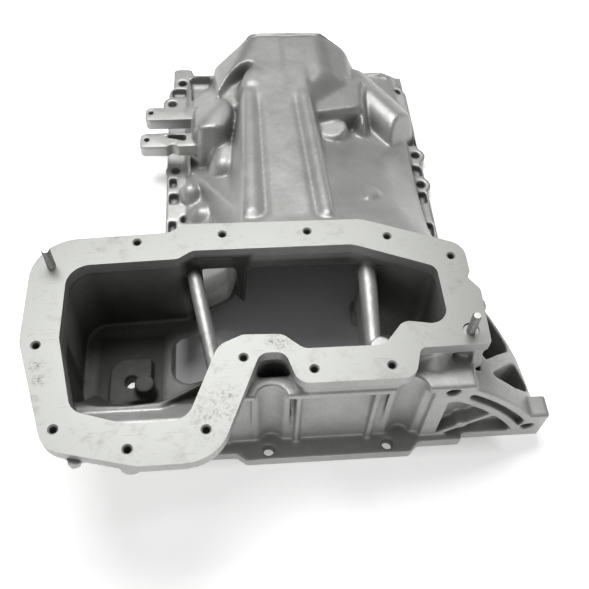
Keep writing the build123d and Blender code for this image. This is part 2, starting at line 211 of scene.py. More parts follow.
tunnelSettings = {
    "top": (107.0, 33.0, 150.0, 235.0),            # height at the near end, fall, y of the near end, length
    "outline": [(-67.5, 100), (40, 100), (40, 406), (-45, 406), (-53, 394), (-56.5, 372), (-57.6, 350)],
    "shoulder": 9,                # height of the walls
    "draft": 8.0,
    "cornerRound": 6,
    "edgeRound": 8,
    "rightWall": (4.5, 17.5, 0.027, 200),          # draft, x of its foot, the foot's lean and where it is nil
    "ridgeLeft": ((-54.0, 180), (-50.0, 354)),
    "ridgeLeftRadius": (10.5, 3.0),                # at the near end, and how much less at the far end
    "ridgeLeftRise": 2.6,         # above the top
    "ridgeRight": ((9.6, 174), (4.5, 350)),
    "ridgeRightRadius": 7.4,
    "ridgeRightSink": 5.2,        # its axis below the top
    "grooveLeft": (3.2, 1.4, 3.0),                 # depth, gap to the ridge, half width
    "grooveRight": (3.0, 8.6, 3.2),                # depth, distance from the ridge's axis, half width
    "grooveFade": 9,
    "knob": ((-47, 374), (-44, 388)),
    "knobRadius": 12.0,
    "knobSink": 9.5,
}


# Flat-topped tunnel, its top a straight fall, with a round ridge on each shoulder set off by a shallow groove
def tunnelForm(x, y, s):
    high, fall, nearY, length = s["top"]
    top = high - fall * (y - nearY) / length
    foot = top - s["shoulder"]
    form = mesa(x, y, s["outline"], foot, s["draft"], top, s["cornerRound"], s["edgeRound"])
    draft, footX, lean, fromY = s["rightWall"]
    form = softMin(form, foot + draft * (footX - lean * (y - fromY) - x), 5)
    toLeft, t = segmentDistance(x, y, *s["ridgeLeft"])
    toRight, _ = segmentDistance(x, y, *s["ridgeRight"])
    radius = s["ridgeLeftRadius"][0] - s["ridgeLeftRadius"][1] * t
    depth, gap, width = s["grooveLeft"]
    grooves = depth * np.exp(-((toLeft - radius - gap) / width) ** 2)
    depth, gap, width = s["grooveRight"]
    grooves = grooves + depth * np.exp(-((toRight - gap) / width) ** 2)
    form = form - grooves * np.clip((1 - t) * s["grooveFade"], 0, 1)
    crestLeft = top + s["ridgeLeftRise"] - radius + roll(toLeft, radius)
    crestRight = top - s["ridgeRightSink"] + roll(toRight, s["ridgeRightRadius"])
    form = softMax(form, softMax(crestLeft, crestRight, 1), 2)
    toKnob, _ = segmentDistance(x, y, *s["knob"])
    return softMax(form, top - s["knobSink"] + roll(toKnob, s["knobRadius"]), 4)


blockSettings = {
    "leftWall": ((-86, 0), 34, 9.0, 0.0),          # planes: point in plan, height there, slopes along x and y
    "leftFacet": ((0, 0), 298.5, 1.1, -0.387),
    "top": ((0, 385), 74.3, 0.0, 0.03),
    "topStep": (1.4, -13, 1.2),   # how much higher its left part is, x of the step, softness
    "topCamber": (0.02, 8),       # fall to both sides, x of the middle
    "otherSides": [               # right and front planes, and the rounding of each one's edge
        (((31, 0), 74.5, -0.83, 0.0), 8),
        (((61, 0), 50, -2.6, 0.0), 5),
        (((75, 0), 20, -8.0, 0.0), 5),
        (((0, 456.5), 12, 0.0, -7.0), 13),
    ],
    "nearWall": ((21, 357), 60.5, -0.14, 0.0),
    "nearWallRise": (0.85, -0.633, 0.774),         # steepness, and the direction in plan that it rises in
    "cornerLines": [              # near left corner: a point on each wall and the direction into the block
        ((-42, 404), (-0.106, 0.994)),
        ((-57, 402.4), (-0.515, 0.857)),
        ((-71, 394), (-0.858, 0.514)),
    ],
    "cornerHeight": 72,
    "cornerDraft": 8.0,
    "cornerEnd": -45,             # x where the corner walls give way to the near wall
}


# Tall block at the front end: the lowest of sloping planes, its near left corner cut away along three walls
def frontBlock(x, y, s):
    section = softMin(plane(x, y, *s["leftWall"]), plane(x, y, *s["leftFacet"]), 8)
    rise, stepX, softness = s["topStep"]
    fall, middle = s["topCamber"]
    top = plane(x, y, *s["top"]) + rise / (1 + np.exp((x - stepX) / softness)) - fall * np.abs(x - middle)
    section = softMin(section, top, 11)
    for side, edgeRound in s["otherSides"]:
        section = softMin(section, plane(x, y, *side), edgeRound)
    steep, dx, dy = s["nearWallRise"]
    (wallX, wallY), *_ = s["nearWall"]
    nearWall = plane(x, y, *s["nearWall"]) + steep * (dy * (y - wallY) + dx * (x - wallX))
    inside = np.max([dy * (y - y0) + dx * (x - x0) for (x0, y0), (dx, dy) in s["cornerLines"]], axis=0)
    cornerWall = s["cornerHeight"] + s["cornerDraft"] * inside
    return softMin(section, np.where(x < s["cornerEnd"], cornerWall, nearWall), 5)


podSettings = {
    "crown": (67, 0.012, -92),    # height of the round top, its curve, x of its middle
    "nearOutline": [(-106.5, 401), (-106.5, 323), (-101, 315), (-84, 315), (-74, 323), (-67.5, 341), (-66.5, 352),
                    (-70, 362), (-83, 376)],
    "nearFoot": 56,
    "farOutline": [(-106.5, 345), (-83, 345), (-83, 450), (-94, 435), (-106.5, 392)],
    "farFoot": 50,
    "draft": 7.0,
    "frontPlane": ((0, 368), 66, 0.0, -0.8),
    "cornerPlane": ((-70, 362), 67, 0.55, -0.45),
    "bulge": ((-76, 312), (-78, 296)),
    "bulgeRadius": 14.5,
    "bulgeAxis": 31,
}


# Round-topped pod left of the tunnel with a blunt near end, and the smaller bulge in front of it
def pods(x, y, s):
    high, curve, middle = s["crown"]
    top = high - curve * (x - middle) ** 2
    near = mesa(x, y, s["nearOutline"], s["nearFoot"], s["draft"], top, 8, 7)
    far = mesa(x, y, s["farOutline"], s["farFoot"], s["draft"], top, 5, 5)
    pod = softMin(softMax(near, far, 3), plane(x, y, *s["frontPlane"]), 9)
    pod = softMin(pod, plane(x, y, *s["cornerPlane"]), 8)
    toBulge, _ = segmentDistance(x, y, *s["bulge"])
    return softMax(pod, s["bulgeAxis"] + roll(toBulge, s["bulgeRadius"]), 5)


stepSettings = {
    "stepOutline": [(8, 343), (22, 340), (62, 351), (68, 356), (71, 400), (8, 400)],
    "stepFoot": 52,
    "stepDraft": 7.0,
    "stepTop": ((21, 0), 60.5, -0.11, 0.0),
    "bossOutline": [(52, 330), (50, 344), (14, 344), (14, 330), (24, 318), (33, 315), (43, 318)],
    "bossFoot": 43,
    "bossDraft": 5.0,
    "bossTop": 49.0,
    "rib": ((71, 396), (67, 339)),
    "ribTop": (55, 9),            # height at the far end, and how much lower the near end is
    "ribHalfWidth": 1.5,
    "ribDraft": 2.6,
}


# A step and a round boss below the block's near wall, and a low rib at the right
def rightSteps(x, y, s):
    step = mesa(x, y, s["stepOutline"], s["stepFoot"], s["stepDraft"], plane(x, y, *s["stepTop"]), 4, 3.5)
    boss = mesa(x, y, s["bossOutline"], s["bossFoot"], s["bossDraft"], s["bossTop"], 7, 5)
    toRib, t = segmentDistance(x, y, *s["rib"])
    rib = s["ribTop"][0] - s["ribTop"][1] * t - s["ribDraft"] * np.clip(toRib - s["ribHalfWidth"], 0, 99)
    return softMax(softMax(step, boss, 3), rib, 3)


housingSettings = {
    "axis": ((78.0, 394.0), (106.0, 348.0)),
    "crown": 46,
    "radius": 19.0,
    "farFall": (0.20, 0.016),     # slope and curve of the side towards the front
    "topLine": (45, 0.25, -30),   # height, rise along the axis, and where that is counted from
    "end": (45, 2.3, (105.8, 348), (0.76, -0.65)), # height, draft, point and direction of the flat end
    "rightWall": (14, 5.0, 127),
    "frontWall": (12, 6.0, 440),
}


# Half-round housing lying at a slant, with a sloping flat end
def slantedHousing(x, y, s):
    (ax, ay), (bx, by) = s["axis"]
    length = math.hypot(bx - ax, by - ay)
    ux, uy = (bx - ax) / length, (by - ay) / length
    across = -(uy * (x - ax) - ux * (y - ay))      # positive towards the front right
    ahead = ux * (x - ax) + uy * (y - ay)
    nearSide = s["crown"] - s["radius"] + roll(np.clip(-across, 0, 99), s["radius"])
    farSide = s["crown"] - s["farFall"][0] * across - s["farFall"][1] * across ** 2
    form = np.where(across < 0, nearSide, farSide)
    high, rise, start = s["topLine"]
    form = softMin(form, high + rise * (ahead - start), 10)
    high, draft, (endX, endY), (dx, dy) = s["end"]
    form = softMin(form, high - draft * (dx * (x - endX) + dy * (y - endY)), 3)
    level, draft, edge = s["rightWall"]
    form = softMin(form, level + draft * (edge - x), 4)
    level, draft, edge = s["frontWall"]
    return softMin(form, level + draft * (edge - y), 5)


coverForms = [                    # every form, its settings, and the fillet that joins it to the ones before
    (leftShell, leftShellSettings, 4),
    (tunnelForm, tunnelSettings, 5),
    (slantedHousing, housingSettings, 4),
    (frontBlock, blockSettings, 5),
    (pods, podSettings, 4),
    (rightSteps, stepSettings, 3),
]

detailSettings = {
    "pitOutline": [(-84, 376), (-72, 362), (-56, 352), (-52, 395), (-60, 404), (-72, 396)],
    "pitFoot": 46,
    "pitFloor": 54.0,
    "domes": [                    # centre, radii, height, fillet
        ((-113, 277), (11.5, 12.5), 15, 3),
        ((-101, 249), (12, 12), 13, 7),
    ],
    "domeBase": 12,
    "padCentre": (48.5, 214),     # half-round pad on the right shell
    "padRadius": 15.5,
    "padSquash": 1.1,
    "padStraightSide": 47,
    "padEdges": (1.5, 1.4),       # width of the slope at the round and at the straight side
    "padHeight": 3.4,
}


# Top surface of the front half: every form joined by fillets, then the pit's floor, the domes and the pad
def coverHeights(x, y, s, base):
    h = rightShell(x, y, rightShellSettings)
    for form, settings, fillet in coverForms:
        h = softMax(h, form(x, y, settings), fillet)
    h = softMax(h, mesa(x, y, s["pitOutline"], s["pitFoot"], 6.0, s["pitFloor"], 4, 4), 6)
    for centre, radii, height, fillet in s["domes"]:
        h = softMax(h, s["domeBase"] + dome(x, y, centre, radii, height), fillet)
    padX, padY = s["padCentre"]
    roundEdge, straightEdge = s["padEdges"]
    inside = s["padRadius"] - np.hypot(np.clip(x - padX, 0, 99), (y - padY) * s["padSquash"])
    pad = np.clip(inside / roundEdge, 0, 1) * np.clip((x - s["padStraightSide"]) / straightEdge, 0, 1)
    h = h + s["padHeight"] * pad * pad * (3 - 2 * pad)
    return np.maximum(h, base)


# Weighted mean of each point's row and column neighbours, the weights a bell curve of the given width
def blurred(h, width):
    reach = int(3 * width) + 1
    weights = np.exp(-0.5 * (np.arange(-reach, reach + 1) / width) ** 2)
    weights /= weights.sum()
    for axis in (0, 1):
        padded = np.pad(h, [(reach, reach) if k == axis else (0, 0) for k in (0, 1)], mode="edge")
        h = sum(w * np.take(padded, np.arange(i, i + h.shape[axis]), axis) for i, w in enumerate(weights))
    return h


# Surface a wall's thickness below: the lowest of the field shifted each way, less a ball's rise there
def shiftedMin(h, pitch, reach):
    n = int(reach / pitch)
    low = h - reach
    padded = np.pad(h, n, mode="edge")
    for i in range(-n, n + 1):
        for j in range(-n, n + 1):
            left = reach ** 2 - (i * i + j * j) * pitch ** 2
            if left > 0:
                part = padded[n + i:n + i + h.shape[0], n + j:n + j + h.shape[1]]
                low = np.minimum(low, part - math.sqrt(left))
    return low


def meshFromArrays(name, points, quads):
    mesh = bpy.data.meshes.new(name)
    mesh.from_pydata(points.tolist(), [], quads.tolist())
    mesh.update()
    return addObject(name, mesh)


def addObject(name, mesh):
    obj = bpy.data.objects.new(name, mesh)
    scene.collection.objects.link(obj)
    return obj


# Index of every quad of a rows by columns grid of points
def gridQuads(rows, columns, start=0, flip=False):
    i = start + np.arange(rows - 1)[:, None] * columns + np.arange(columns - 1)[None]
    quads = np.stack([i, i + 1, i + columns + 1, i + columns], -1).reshape(-1, 4)
    return quads[:, ::-1] if flip else quads


# Closed shell of the front half: the height field on top, the same field a wall lower underneath
def coverShell(s):
    x = np.arange(s["xRange"][0], s["xRange"][1], s["pitch"])
    y = np.arange(s["yRange"][0], s["yRange"][1], s["pitch"])
    gx, gy = np.meshgrid(x, y)
    heights = coverHeights(gx, gy, detailSettings, s["base"])
    top = np.maximum(blurred(heights, s["blur"] / s["pitch"]), s["base"])
    under = np.clip(shiftedMin(top, s["pitch"], s["wall"]), s["lowest"], None)
    rows, columns = gx.shape
    points = np.concatenate([np.stack([gx, gy, z], -1).reshape(-1, 3) for z in (top, under)])
    count = rows * columns
    edge = np.concatenate([np.arange(columns),
                           np.arange(1, rows) * columns + columns - 1,
                           (rows - 1) * columns + np.arange(columns - 2, -1, -1),
                           np.arange(rows - 2, 0, -1) * columns])
    after = np.roll(edge, -1)
    rim = np.stack([edge, edge + count, after + count, after], -1)
    quads = np.concatenate([gridQuads(rows, columns), gridQuads(rows, columns, count, True), rim])
    return meshFromArrays("coverShell", points * mm, quads)


cover = coverShell(coverSettings)
print("cover shell", len(cover.data.vertices))

bodySettings = {
    "node": "oil_pan_casting",
    "coverRoom": [                # mm, boxes where the new cover takes the place of the old one
        ((-112.5, 152.2, -5), (111.5, 449.5, 119)),
        ((-125, 158, 12.3), (-111, 300, 60)),
        ((110, 156, 12.3), (130, 446, 60)),
    ],
    "earRoots": [((-116, 353, 31), (-100, 372, 45)), ((-116, 314, 31), (-100, 334, 45))],
    "lobeWindow": [               # plan outlines that round off the opening in the lobe's floor
        [(-130, 84), (-126.5, 86), (-124.5, 93), (-119.5, 98.6), (-112, 101), (-107, 101.4), (-100, 108),
         (-100, 124), (-130, 124)],
        [(-130, 22), (-98, 22), (-98, 58), (-104, 56.5), (-112, 55), (-118, 56.5), (-123.5, 61),
         (-125.8, 67), (-130, 67)],
    ],
    "floorLevels": (26.2, 30.8),
    "hangingRib": ((-71, -59), (-66, -62.5), (124, 132), (43, 110)),   # x at the top and at the bottom, y, height
    "rightWeb": ((33.5, 38.5), (33.5, 37.5), (33, 127), (36, 90)),
    "lobeSweep": [                # near wall of the lobe: outline pieces at the floor and below the flange
        ([(-189, 7), (-189, 50), (-174, 41), (-174, 7)], [(-189, 7), (-189, 14), (-174, 10), (-174, 7)]),
        ([(-174, 7), (-174, 41), (-152, 37), (-152, 7)], [(-174, 7), (-174, 10), (-152, 9), (-152, 7)]),
        ([(-152, 7), (-152, 37), (-128, 42), (-128, 7)], [(-152, 7), (-152, 9), (-128, 11), (-128, 7)]),
        ([(-128, 7), (-128, 42), (-98, 58), (-98, 24)], [(-128, 7), (-128, 11), (-98, 25), (-98, 23)]),
    ],
    "sweepLevels": (26.5, 88.0),
    "scallopWall": [(-62, 20), (-52, 33), (-44, 35.5), (-36, 33), (-30, 21)],   # behind the flange's small hollow
    "scallopThickness": 4.0,
    "scallopLevels": (66.0, 111.0),
    "splitHeight": 110.5,         # above it is the crisp flange slab
    "overlap": 0.7,
    "sumpFace": 120,
    "counterbores": [(103, 41, 6.3, 1.5), (-210, 115, 4.2, 0.5)],   # x, y, radius, depth
    "bevel": 0.45,                # of the flange's edges
    "bevelAngle": 35,             # degrees, the least that gets a bevel
    "sharpAngle": 50,
    "flatAngle": 0.6,             # flange faces nearer to level with each other than this become one
    "weld": 0.002,
    "flangeWeld": 0.01,
    "voxel": 1.25,
    "rounds": 5,                  # of smoothing
    "coverRounds": 3,             # and this many more on the cover
    "coverStart": 154,
    "coverHalfWidth": 117,
    "machinedLevels": (0.0, 45.0),
    "gearboxFace": 5.3,
    "faceReach": 0.3,             # points this near a machined face stay on it
    "triangles": 190000,
}


# Upright prism over a plan outline that goes round anticlockwise
def prismObject(name, outline, low, high):
    count = len(outline)
    points = [(x * mm, y * mm, z * mm) for z in (low, high) for x, y in outline]
    sides = [(i, (i + 1) % count, (i + 1) % count + count, i + count) for i in range(count)]
    mesh = bpy.data.meshes.new(name)
    mesh.from_pydata(points, [], sides + [tuple(range(count, 2 * count)), tuple(range(count - 1, -1, -1))])
    return addObject(name, mesh)


# Solid between an outline at the bottom and one at the top, both with the same number of corners
def taperedObject(name, lowOutline, highOutline, low, high):
    taper = prismObject(name, lowOutline, low, high)
    points = getPoints(taper.data)
    points[len(lowOutline):, :2] = np.array(highOutline) * mm
    setPoints(taper.data, points)
    return taper


# Wall of the given thickness behind each piece of a line in plan
def lineWalls(name, line, thickness, low, high):
    walls = []
    for (x0, y0), (x1, y1) in zip(line, line[1:]):
        length = math.hypot(x1 - x0, y1 - y0)
        dx, dy = -(y1 - y0) / length * thickness, (x1 - x0) / length * thickness
        walls.append(prismObject(name, [(x0, y0), (x1, y1), (x1 + dx, y1 + dy), (x0 + dx, y0 + dy)], low, high))
    return walls


# Block whose x range narrows from top to bottom
def wedgeObject(name, topX, lowX, yRange, zRange):
    block = boxObject(name, (0, yRange[0], zRange[0]), (1, yRange[1], zRange[1]))
    points = getPoints(block.data)
    high = points[:, 2] > sum(zRange) / 2 * mm
    right = points[:, 0] > 0.5 * mm
    points[:, 0] = np.where(high, np.where(right, topX[1], topX[0]), np.where(right, lowX[1], lowX[0])) * mm
    setPoints(block.data, points)
    return block


# Box between two opposite corners
def boxObject(name, low, high):
    x, y, z = np.meshgrid(*zip(low, high), indexing="ij")
    points = np.stack([x, y, z], -1).reshape(-1, 3) * mm
    quads = np.array([(0, 1, 3, 2), (4, 6, 7, 5), (0, 4, 5, 1), (2, 3, 7, 6), (0, 2, 6, 4), (1, 5, 7, 3)])
    return meshFromArrays(name, points, quads)


# Mesh of the object with its modifiers applied, which it keeps from then on
def appliedMesh(obj):
    depsgraph = bpy.context.evaluated_depsgraph_get()
    mesh = bpy.data.meshes.new_from_object(obj.evaluated_get(depsgraph))
    obj.modifiers.clear()
    obj.data = mesh
    return mesh


def dropObject(obj):
    bpy.data.objects.remove(obj)


def cutAway(obj, low, high):
    cutWith(obj, boxObject("cutter", low, high))


# Cuts away everything between two heights
def cutLevels(obj, low, high):
    cutAway(obj, (-300, -100, low), (300, 600, high))


def cutWith(obj, tool):
    cut = obj.modifiers.new("cut", "BOOLEAN")
    cut.operation, cut.solver, cut.object = "DIFFERENCE", "MANIFOLD", tool
    appliedMesh(obj)
    dropObject(tool)


# Copy of a node with its loose triangles merged
def mergedCopy(name, node, distance):
    bm = bmesh.new()
    bm.from_mesh(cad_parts[node].data)
    bmesh.ops.remove_doubles(bm, verts=bm.verts, dist=distance * mm)
    mesh = bpy.data.meshes.new(name)
    bm.to_mesh(mesh)
    bm.free()
    return addObject(name, mesh)


def joinObjects(objects):
    with bpy.context.temp_override(active_object=objects[0], selected_editable_objects=objects):
        bpy.ops.object.join()


def getPoints(mesh):
    co = np.empty(len(mesh.vertices) * 3, np.float32)
    mesh.vertices.foreach_get("co", co)
    return co.reshape(-1, 3).astype(float)


def setPoints(mesh, points):
    mesh.vertices.foreach_set("co", points.astype(np.float32).ravel())
    mesh.update()


# Each point moves half way to the mean of its neighbours, times its weight on each axis, for some rounds
def relax(mesh, weights, rounds):
    points = getPoints(mesh)
    edges = np.empty(len(mesh.edges) * 2, np.int32)
    mesh.edges.foreach_get("vertices", edges)
    a, b = edges.reshape(-1, 2).T
    count = np.bincount(edges, minlength=len(points))
    for k in range(rounds):
        sums = [np.bincount(a, points[b, i], len(points)) + np.bincount(b, points[a, i], len(points))
                for i in range(3)]
        mean = np.stack([total / count for total in sums], 1)
        points += 0.5 * weights(k) * (mean - points)
    setPoints(mesh, points)


# The casting below the flange: walls, rails, ribs and wing taken over, the cover new, and every edge rounded
# as sand leaves it
def castBody(s):
    body = mergedCopy("castBody", s["node"], s["weld"])
    for corners in s["coverRoom"]:
        cutAway(body, *corners)
    cutLevels(body, s["splitHeight"] + s["overlap"], 200)
    added = [boxObject("earRoot", *corners) for corners in s["earRoots"]]
    added += [prismObject("window", outline, *s["floorLevels"]) for outline in s["lobeWindow"]]
    added += [wedgeObject(name, *s[name]) for name in ("hangingRib", "rightWeb")]
    added += [taperedObject("sweep", *outlines, *s["sweepLevels"]) for outlines in s["lobeSweep"]]
    added += lineWalls("scallop", s["scallopWall"], s["scallopThickness"], *s["scallopLevels"])
    joinObjects([body, cover] + added)
    remesh = body.modifiers.new("remesh", "REMESH")
    remesh.mode, remesh.voxel_size = "VOXEL", s["voxel"] * mm
    mesh = appliedMesh(body)
    print("remeshed", len(mesh.vertices))
    start = getPoints(mesh) / mm
    free = np.ones_like(start)
    for level in s["machinedLevels"]:
        free[np.abs(start[:, 2] - level) < s["faceReach"], 2] = 0
    free[np.abs(start[:, 1] - s["gearboxFace"]) < s["faceReach"], 1] = 0
    free[start[:, 2] > s["splitHeight"] - s["overlap"]] = 0
    inCover = (start[:, 1] > s["coverStart"]) & (np.abs(start[:, 0]) < s["coverHalfWidth"])
    inCover = inCover.astype(float)[:, None]
    relax(mesh, lambda k: free if k < s["rounds"] else free * inCover, s["rounds"] + s["coverRounds"])
    thin = body.modifiers.new("thin", "DECIMATE")
    thin.ratio = s["triangles"] / (2 * len(mesh.polygons))
    thin.use_collapse_triangulate = True
    mesh = appliedMesh(body)
    mesh.shade_smooth()
    even = body.modifiers.new("even", "WEIGHTED_NORMAL")
    even.mode, even.weight = "FACE_AREA_WITH_ANGLE", 60
    mesh = appliedMesh(body)
    print("body", len(mesh.polygons))
    return body


body = castBody(bodySettings)


# The slab of the sump flange, its machined edges left crisp but broken by a fine bevel
def sumpFlange(s):
    flange = mergedCopy("sumpFlange", s["node"], s["weld"])
    cutLevels(flange, -50, s["splitHeight"])
    for x, y, radius, depth in s["counterbores"]:
        angle = np.linspace(0, 2 * math.pi, 48, endpoint=False)
        rim = np.stack([x + radius * np.cos(angle), y + radius * np.sin(angle)], -1).tolist()
        cutWith(flange, prismObject("bore", rim, s["sumpFace"] - depth, s["sumpFace"] + 5))
    bm = bmesh.new()
    bm.from_mesh(flange.data)
    bmesh.ops.remove_doubles(bm, verts=bm.verts, dist=s["flangeWeld"] * mm)
    bmesh.ops.dissolve_limit(bm, angle_limit=math.radians(s["flatAngle"]), verts=bm.verts, edges=bm.edges)
    bm.to_mesh(flange.data)
    bm.free()
    bevel = flange.modifiers.new("bevel", "BEVEL")
    bevel.width, bevel.segments, bevel.limit_method = s["bevel"] * mm, 2, "ANGLE"
    bevel.angle_limit = math.radians(s["bevelAngle"])
    mesh = appliedMesh(flange)
    mesh.shade_smooth()
    mesh.set_sharp_from_angle(angle=math.radians(s["sharpAngle"]))
    even = flange.modifiers.new("even", "WEIGHTED_NORMAL")
    even.mode, even.weight, even.keep_sharp = "FACE_AREA", 100, True
    mesh = appliedMesh(flange)
    print("flange", len(mesh.polygons))
    return flange


flange = sumpFlange(bodySettings)

studSettings = {
    "places": {"stud_left": (-210, 115), "stud_right": (103, 41)},
    "foot": 112.0,
    "tip": 139.9,
    "radius": 3.4,
    "depth": 0.40,                # of the thread
    "pitch": 1.0,
    "chamfer": 0.9,
    "around": 40,                 # points round the stud
    "perTurn": 8,                 # rings in each turn of the thread
    "sharpAngle": 40,
}


# Threaded stud: radius falls by the thread's depth in a wave along a helix, and the tip is chamfered; both ends are
# closed by a fan of triangles
def threadedStud(name, x0, y0, s):
    count = int((s["tip"] - s["foot"]) / s["pitch"] * s["perTurn"])
    z = np.linspace(s["foot"], s["tip"], count)
    angle = np.linspace(0, 2 * math.pi, s["around"], endpoint=False)
    phase = (z[:, None] / s["pitch"] - angle[None] / (2 * math.pi)) % 1.0
    cut = s["depth"] * np.clip(1.6 * np.abs(2 * phase - 1) - 0.3, 0, 1)
    tipRadius = s["radius"] - s["chamfer"] + s["chamfer"] * (s["tip"] - z[:, None])
    radius = np.minimum(s["radius"] - cut, tipRadius + 0.02)
    ring = np.stack([x0 + radius * np.cos(angle), y0 + radius * np.sin(angle),
                     np.broadcast_to(z[:, None], radius.shape)], -1)
    points = np.concatenate([ring.reshape(-1, 3), [[x0, y0, s["foot"]], [x0, y0, s["tip"]]]])
    i = np.arange(count - 1)[:, None] * s["around"]
    j = np.arange(s["around"])[None]
    after = (j + 1) % s["around"]
    quads = np.stack([i + j, i + after, i + after + s["around"], i + j + s["around"]], -1).reshape(-1, 4)
    j, after = j[0], after[0]
    last = (count - 1) * s["around"]
    low = np.stack([after, j, np.full_like(j, count * s["around"])], -1)
    high = np.stack([last + j, last + after, np.full_like(j, count * s["around"] + 1)], -1)
    mesh = bpy.data.meshes.new(name)
    mesh.from_pydata((points * mm).tolist(), [], quads.tolist() + low.tolist() + high.tolist())
    mesh.update()
    mesh.shade_smooth()
    mesh.set_sharp_from_angle(angle=math.radians(s["sharpAngle"]))
    return addObject(name, mesh)


studs = {node: threadedStud(node.replace("stud_", "stud") + "Threaded", *place, studSettings)
         for node, place in studSettings["places"].items()}
print("studs", len(studs))


def newMaterial(name):
    material = bpy.data.materials.new(name)
    material.use_nodes = True
    nodes, links = material.node_tree.nodes, material.node_tree.links
    return material, nodes, links, nodes["Principled BSDF"]


def addNode(nodes, kind, **values):
    node = nodes.new("ShaderNode" + kind)
    for key, value in values.items():
        setattr(node, key, value)
    return node


# Noise on object coordinates; size is the width of a feature in mm
def noise(nodes, links, coords, size, detail=4.0, rough=0.55, stretch=(1, 1, 1)):
    place = addNode(nodes, "Mapping")
    place.inputs["Scale"].default_value = [1000.0 / size * k for k in stretch]
    links.new(coords, place.inputs["Vector"])
    node = addNode(nodes, "TexNoise")
    node.inputs["Scale"].default_value = 1.0
    node.inputs["Detail"].default_value = detail
    node.inputs["Roughness"].default_value = rough
    links.new(place.outputs["Vector"], node.inputs["Vector"])
    return node.outputs["Fac"]


# Straight-line mapping of a value from one range to another, clamped
def spread(nodes, links, value, low, high, newLow=0.0, newHigh=1.0):
    node = addNode(nodes, "MapRange", clamp=True)
    for key, number in (("From Min", low), ("From Max", high), ("To Min", newLow), ("To Max", newHigh)):
        node.inputs[key].default_value = number
    links.new(value, node.inputs["Value"])
    return node.outputs["Result"]


# Blend of two colours, each a value or the output of another node
def mixColour(nodes, links, fac, a, b, blend="MIX"):
    node = addNode(nodes, "Mix", data_type="RGBA", blend_type=blend)
    for socket, value in ((node.inputs["Factor"], fac), (node.inputs[6], a), (node.inputs[7], b)):
        if isinstance(value, (float, int, tuple)):
            socket.default_value = value
        else:
            links.new(value, socket)
    return node.outputs[2]


# One arithmetic step on two numbers, each a value or the output of another node
def combine(nodes, links, how, a, b):
    node = addNode(nodes, "Math", operation=how)
    for socket, value in zip(node.inputs, (a, b)):
        if isinstance(value, (float, int)):
            socket.default_value = value
        else:
            links.new(value, socket)
    return node.outputs[0]


# How far a point lies outside a box, or outside a rectangle in plan, in metres, negative inside
def boxDistance(nodes, links, coords, low, high):
    axes = addNode(nodes, "SeparateXYZ")
    links.new(coords, axes.inputs[0])
    outside = None
    for axis, a, b in zip("XYZ", low, high):
        off = combine(nodes, links, "SUBTRACT", axes.outputs[axis], (a + b) / 2)
        off = combine(nodes, links, "ABSOLUTE", off, 0.0)
        off = combine(nodes, links, "SUBTRACT", off, (b - a) / 2)
        outside = off if outside is None else combine(nodes, links, "MAXIMUM", outside, off)
    return outside


# Bump from a height, depth in mm, on top of the bump under it
def addBump(nodes, links, height, depth, strength, under=None):
    node = addNode(nodes, "Bump")
    node.inputs["Strength"].default_value = strength
    node.inputs["Distance"].default_value = depth * mm
    links.new(height, node.inputs["Height"])
    if under is not None:
        links.new(under, node.inputs["Normal"])
    return node.outputs["Normal"]


castSettings = {
    "colour": (0.46, 0.465, 0.45, 1),
    "dull": (0.38, 0.385, 0.368, 1),
    # colour painted as shade in recesses and inside the sump
    "paintedShadeColour": (0.035, 0.034, 0.031, 1),
    "metallic": 0.5,
    "roughness": (0.40, 0.50),
    "patches": (34, 5, 0.6),      # noises: width of a feature in mm, detail, roughness
    "speckle": (1.6, 3, 0.7),
    "sheen": (9, 4, 0.6),
    "swell": (5.5, 2, 0.5),
    "grain": (0.7, 3, 0.6),
    "patchRange": (0.36, 0.66),   # of the noise, from none to full
    "speckleRange": (0.3, 0.7, 0.88, 1.08),        # of the noise, and the brightness at its ends
    "swellBump": (0.35, 0.35),    # depth in mm and strength
    "grainBump": (0.10, 0.45),
    "recess": 0.02,               # m, how far a surface looks round itself for the painted shade in recesses
    "recessRange": (0.15, 0.8, 0.6, 0.0),          # how open the surface is, and the painted shade at both ends
    "cavity": 0.12,               # m, the same for the painted shade inside the sump
    "insideShadeMost": 0.9,
    "undersides": (-0.5, -0.1),   # upward part of the normal below which there is no painted shade inside, and above which all
    "paintedShadeRoughness": 0.3,        # added where the painted shade is full
    "insideShadeRooms": [                 # boxes painted darker as shade inside the sump: low and high corner, how open a surface there may be, reach of the fade in m
        ((-0.225, 0.012, -0.01), (-0.085, 0.124, 0.112), (0.22, 0.6), 0.006),
        ((-0.09, 0.056, -0.01), (0.112, 0.128, 0.112), (0.22, 0.6), 0.006),
        ((-0.106, 0.118, 0.02), (0.05, 0.165, 0.1), (0.5, 0.85), 0.006),
        ((-0.186, 0.024, 0.026), (-0.134, 0.1, 0.045), (0.9, 1.1), 0.014),
        ((-0.2, 0.0115, 0.033), (-0.1, 0.06, 0.09), (0.7, 1.25), 0.006),
        ((-0.108, 0.118, 0.03), (-0.06, 0.1235, 0.108), (1.0, 1.5), 0.006),
    ],
    "paintedShadeBoxes": [                   # boxes of painted shade on the cover: low and high corner, reach of the fade in m, amount
        ((-0.08, 0.40, 0.04), (0.06, 0.47, 0.09), 0.02, 0.5),
        ((0.03, 0.18, 0.0), (0.13, 0.31, 0.12), 0.03, 0.33),
        ((0.016, 0.345, 0.03), (0.072, 0.385, 0.08), 0.012, 0.45),
    ],
    # colour of the painted shade in those boxes
    "paintedShadeGrey": (0.20, 0.203, 0.197, 1),
}
